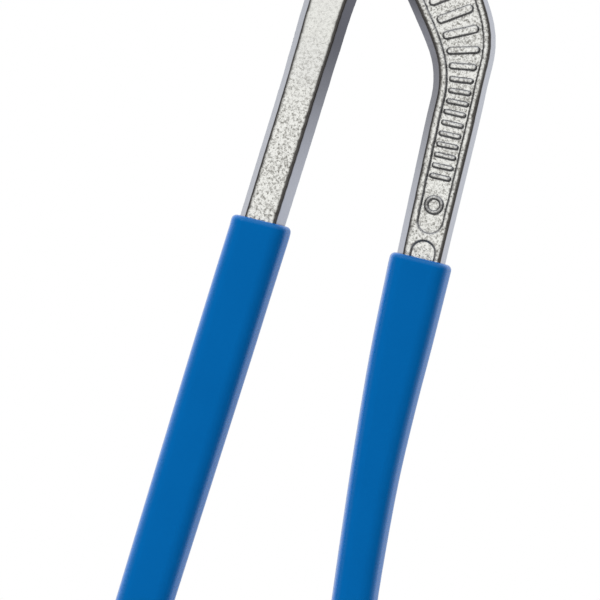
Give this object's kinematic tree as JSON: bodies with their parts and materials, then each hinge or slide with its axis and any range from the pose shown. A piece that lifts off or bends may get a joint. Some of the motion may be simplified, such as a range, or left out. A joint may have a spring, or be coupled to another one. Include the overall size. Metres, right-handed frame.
{
  "type": "tongue and groove pliers",
  "caption": "Adjustable slip-joint pliers: two forged plated levers with toothed angled jaws, an arc tongue that steps along grooves, a pivot bolt in a slot, and dipped handle grips.",
  "frame": {"origin": "on the pivot axis, at the back face of the bolt head, which is the face the tool lies on when it is laid on its back", "axes": "+Z runs from the handle ends up to the jaws, +X is to the right of a person who faces the embossed front, and the front faces -Y; the tool's thickness is along Y"},
  "size_m": [0.0811, 0.0252, 0.2547],
  "materials": {
    "plated_forging": "bright plated over an as-forged pebbled skin, with smooth ground flanks",
    "pivot_steel": "turned and bright zinc plated",
    "dipped_grip": "semi-gloss blue dipped vinyl"
  },
  "bodies": {
    "slotted_side": {"slotted_lever": "plated_forging", "slotted_grip": "dipped_grip"},
    "pivot_set": {"pivot_bolt": "pivot_steel", "slide_washer": "pivot_steel", "spring_washer": "pivot_steel", "pivot_nut": "pivot_steel"},
    "tongue_side": {"tongue_lever": "plated_forging", "tongue_grip": "dipped_grip"}
  },
  "joints": [
    {"name": "groove_shift", "type": "slide", "parent": "slotted_side", "child": "pivot_set", "axis": [-0.1736, 0, -0.9848], "range_m": [-0.01, 0.02]},
    {"name": "jaw_opening", "type": "hinge", "parent": "pivot_set", "child": "tongue_side", "pos_m": [0, -0.01148, 0], "axis": [0, -1, 0], "range_deg": [0, 45]}
  ]
}
